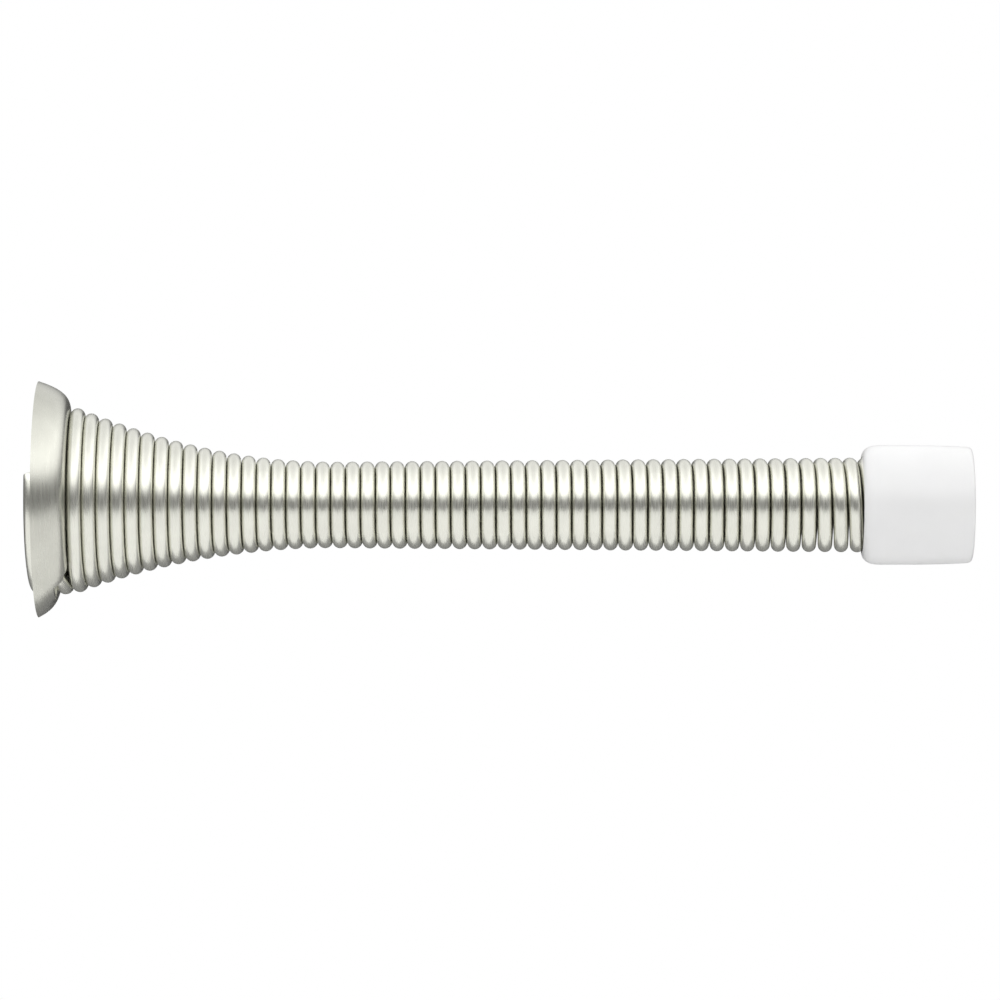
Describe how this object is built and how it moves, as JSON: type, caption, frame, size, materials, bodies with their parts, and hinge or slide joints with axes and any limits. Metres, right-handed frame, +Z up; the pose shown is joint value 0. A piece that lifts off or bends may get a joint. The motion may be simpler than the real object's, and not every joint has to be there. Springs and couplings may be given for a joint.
{
  "type": "spring door stop",
  "caption": "Flexible skirting-board door stop: a close-wound wire spring flaring into a domed screw-on flange, with a soft push-on bumper at its free end.",
  "frame": {"origin": "centre of the flange's rim, on the plane of the wall it is screwed to", "axes": "+X away from the wall along the spring to the bumper tip, +Z up, +Y to the left of someone looking from the tip to the wall"},
  "size_m": [0.0833, 0.0208, 0.0208],
  "materials": {
    "flange_metal": "satin nickel plate",
    "spring_wire": "satin nickel plate",
    "tip_rubber": "smooth, slightly glossy white"
  },
  "bodies": {
    "base": {"flange": "flange_metal", "spring_flange_end": "spring_wire"},
    "turns_01": {"spring_turns_01": "spring_wire"},
    "turns_02": {"spring_turns_02": "spring_wire"},
    "turns_03": {"spring_turns_03": "spring_wire"},
    "turns_04": {"spring_turns_04": "spring_wire"},
    "turns_05": {"spring_turns_05": "spring_wire"},
    "turns_06": {"spring_turns_06": "spring_wire"},
    "turns_07": {"spring_turns_07": "spring_wire"},
    "turns_08": {"spring_turns_08": "spring_wire"},
    "turns_09": {"spring_turns_09": "spring_wire"},
    "turns_10": {"spring_turns_10": "spring_wire"},
    "turns_11": {"spring_turns_11": "spring_wire"},
    "turns_12": {"spring_turns_12": "spring_wire"},
    "turns_13": {"spring_turns_13": "spring_wire"},
    "turns_14": {"spring_turns_14": "spring_wire"},
    "turns_15": {"spring_turns_15": "spring_wire"},
    "tip": {"spring_tip_end": "spring_wire", "bumper_tip": "tip_rubber"}
  },
  "joints": [
    {"name": "bend_away_1", "type": "hinge", "parent": "base", "child": "turns_01", "pos_m": [0.00538, 0.00683, -0.00021], "axis": [0, 0, 1], "range_deg": [0, 20], "stiffness_Nm_per_rad": 0.078, "springref_deg": -30.94},
    {"name": "bend_up_1", "type": "hinge", "parent": "turns_01", "child": "turns_02", "pos_m": [0.0096, 0, 0.00526], "axis": [0, -1, 0], "range_deg": [0, 20], "stiffness_Nm_per_rad": 0.078, "springref_deg": -30.94},
    {"name": "bend_near_1", "type": "hinge", "parent": "turns_02", "child": "turns_03", "pos_m": [0.01351, -0.00453, -0.00039], "axis": [0, 0, -1], "range_deg": [0, 20], "stiffness_Nm_per_rad": 0.078, "springref_deg": -30.94},
    {"name": "bend_down_1", "type": "hinge", "parent": "turns_03", "child": "turns_04", "pos_m": [0.01749, 0, -0.00426], "axis": [0, 1, 0], "range_deg": [0, 20], "stiffness_Nm_per_rad": 0.078, "springref_deg": -30.94},
    {"name": "bend_away_2", "type": "hinge", "parent": "turns_04", "child": "turns_05", "pos_m": [0.02193, 0.00334, -0.0005], "axis": [0, 0, 1], "range_deg": [0, 20], "stiffness_Nm_per_rad": 0.078, "springref_deg": -30.94},
    {"name": "bend_up_2", "type": "hinge", "parent": "turns_05", "child": "turns_06", "pos_m": [0.02642, 0, 0.00269], "axis": [0, -1, 0], "range_deg": [0, 20], "stiffness_Nm_per_rad": 0.078, "springref_deg": -30.94},
    {"name": "bend_near_2", "type": "hinge", "parent": "turns_06", "child": "turns_07", "pos_m": [0.03049, -0.00322, -0.0005], "axis": [0, 0, -1], "range_deg": [0, 20], "stiffness_Nm_per_rad": 0.078, "springref_deg": -30.94},
    {"name": "bend_down_2", "type": "hinge", "parent": "turns_07", "child": "turns_08", "pos_m": [0.03458, 0, -0.00376], "axis": [0, 1, 0], "range_deg": [0, 20], "stiffness_Nm_per_rad": 0.078, "springref_deg": -30.94},
    {"name": "bend_away_3", "type": "hinge", "parent": "turns_08", "child": "turns_09", "pos_m": [0.03911, 0.00329, -0.0005], "axis": [0, 0, 1], "range_deg": [0, 20], "stiffness_Nm_per_rad": 0.078, "springref_deg": -30.94},
    {"name": "bend_up_3", "type": "hinge", "parent": "turns_09", "child": "turns_10", "pos_m": [0.04365, 0, 0.00283], "axis": [0, -1, 0], "range_deg": [0, 20], "stiffness_Nm_per_rad": 0.078, "springref_deg": -30.94},
    {"name": "bend_near_3", "type": "hinge", "parent": "turns_10", "child": "turns_11", "pos_m": [0.04778, -0.00336, -0.0005], "axis": [0, 0, -1], "range_deg": [0, 20], "stiffness_Nm_per_rad": 0.078, "springref_deg": -30.94},
    {"name": "bend_down_3", "type": "hinge", "parent": "turns_11", "child": "turns_12", "pos_m": [0.05192, 0, -0.0039], "axis": [0, 1, 0], "range_deg": [0, 20], "stiffness_Nm_per_rad": 0.078, "springref_deg": -30.94},
    {"name": "bend_away_4", "type": "hinge", "parent": "turns_12", "child": "turns_13", "pos_m": [0.0565, 0.00343, -0.0005], "axis": [0, 0, 1], "range_deg": [0, 20], "stiffness_Nm_per_rad": 0.078, "springref_deg": -30.94},
    {"name": "bend_up_4", "type": "hinge", "parent": "turns_13", "child": "turns_14", "pos_m": [0.06109, 0, 0.00297], "axis": [0, -1, 0], "range_deg": [0, 20], "stiffness_Nm_per_rad": 0.078, "springref_deg": -30.94},
    {"name": "bend_near_4", "type": "hinge", "parent": "turns_14", "child": "turns_15", "pos_m": [0.06527, -0.0035, -0.0005], "axis": [0, 0, -1], "range_deg": [0, 20], "stiffness_Nm_per_rad": 0.078, "springref_deg": -30.94},
    {"name": "bend_down_4", "type": "hinge", "parent": "turns_15", "child": "tip", "pos_m": [0.06955, 0, -0.00404], "axis": [0, 1, 0], "range_deg": [0, 20], "stiffness_Nm_per_rad": 0.078, "springref_deg": -30.94}
  ],
  "couplings": [
    {"joint": "bend_away_2", "follows": "bend_away_1", "ratio": 1},
    {"joint": "bend_up_2", "follows": "bend_up_1", "ratio": 1},
    {"joint": "bend_near_2", "follows": "bend_near_1", "ratio": 1},
    {"joint": "bend_down_2", "follows": "bend_down_1", "ratio": 1},
    {"joint": "bend_away_3", "follows": "bend_away_1", "ratio": 1},
    {"joint": "bend_up_3", "follows": "bend_up_1", "ratio": 1},
    {"joint": "bend_near_3", "follows": "bend_near_1", "ratio": 1},
    {"joint": "bend_down_3", "follows": "bend_down_1", "ratio": 1},
    {"joint": "bend_away_4", "follows": "bend_away_1", "ratio": 1},
    {"joint": "bend_up_4", "follows": "bend_up_1", "ratio": 1},
    {"joint": "bend_near_4", "follows": "bend_near_1", "ratio": 1},
    {"joint": "bend_down_4", "follows": "bend_down_1", "ratio": 1}
  ]
}
